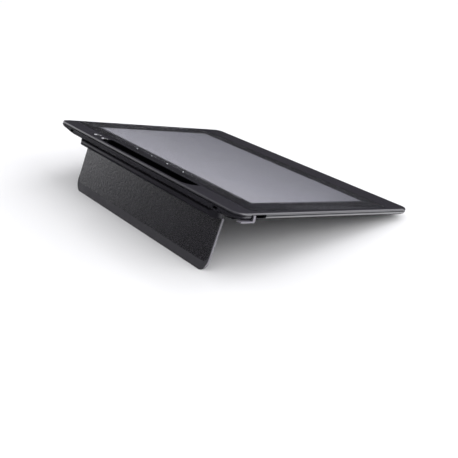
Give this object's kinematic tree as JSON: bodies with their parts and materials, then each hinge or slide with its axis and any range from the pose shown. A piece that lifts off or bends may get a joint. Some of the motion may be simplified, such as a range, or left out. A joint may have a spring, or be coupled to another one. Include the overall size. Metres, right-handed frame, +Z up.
{
  "type": "pen drawing tablet",
  "caption": "Slim pen display tablet with a glass face, a pen groove and a power button along its raised edge, leaning on a hinged stand leaf.",
  "frame": {"origin": "middle of the whole outline on the floor plane that the feet and the stand leaf rest on", "axes": "+X to the right of a user at the low edge, +Y away from the user towards the raised edge, +Z up"},
  "size_m": [0.2844, 0.2042, 0.0608],
  "materials": {
    "housing": "fine satin texture, charcoal",
    "cover": "fine satin texture, dark charcoal",
    "seal": "matte black",
    "glass": "etched, low gloss",
    "black_print": "black print under glass",
    "picture": "lit picture, soft blue-grey gradient",
    "light_guide": "clear, white dotted",
    "sheet_steel": "stamped, zinc plated",
    "circuit_board": "green solder mask",
    "chip": "moulded black",
    "ribbon": "amber film",
    "socket_metal": "nickel plated",
    "mark_white": "white light pipe",
    "gloss_black": "high gloss black",
    "polished_ring": "polished, smoky",
    "button": "satin black",
    "stand_plastic": "satin charcoal",
    "light_metal": "satin light grey paint",
    "grain_skin": "fine leather-like grain, near black",
    "rubber": "matte black rubber",
    "screw_steel": "black zinc",
    "brass": "turned"
  },
  "bodies": {
    "tablet": {"top_frame": "housing", "back_cover": "cover", "rim_seal": "seal", "cover_glass": "glass", "glass_tape": "black_print", "screen_panel": "picture", "light_guide": "light_guide", "screen_tray": "sheet_steel", "pen_sensor_board": "circuit_board", "shield_plate": "sheet_steel", "main_board": "circuit_board", "main_board_chips": "chip", "display_ribbon": "ribbon", "sensor_ribbon": "ribbon", "port_ribbon": "ribbon", "port_board": "circuit_board", "usb_socket": "socket_metal", "port_bezel": "gloss_black", "touch_key_board": "circuit_board", "key_mark_lenses": "mark_white", "pen_tray": "gloss_black", "button_ring": "polished_ring", "power_switch": "socket_metal", "power_board": "circuit_board", "tether_cup": "polished_ring", "tether_pin": "polished_ring", "lock_plate_left": "screw_steel", "lock_plate_right": "screw_steel", "front_foot_left": "rubber", "front_foot_right": "rubber", "cover_screws": "screw_steel", "stand_inserts": "brass", "stand_bar": "stand_plastic", "stand_hook_left": "light_metal", "stand_hook_right": "light_metal", "stand_screws": "screw_steel", "hinge_pin_left": "socket_metal", "hinge_pin_right": "socket_metal"},
    "leaf": {"stand_leaf": "light_metal", "leaf_skin": "grain_skin", "leaf_foot": "rubber"},
    "button": {"power_button": "button"}
  },
  "joints": [
    {"name": "leaf_hinge", "type": "hinge", "parent": "tablet", "child": "leaf", "pos_m": [0, 0.08067, 0.04381], "axis": [1, 0, 0], "range_deg": [-99, 0]},
    {"name": "button_press", "type": "slide", "parent": "tablet", "child": "button", "axis": [0, 0.2588, -0.9659], "range_m": [0, 0.0006], "stiffness_N_per_m": 1500, "springref_m": -0.0005}
  ]
}
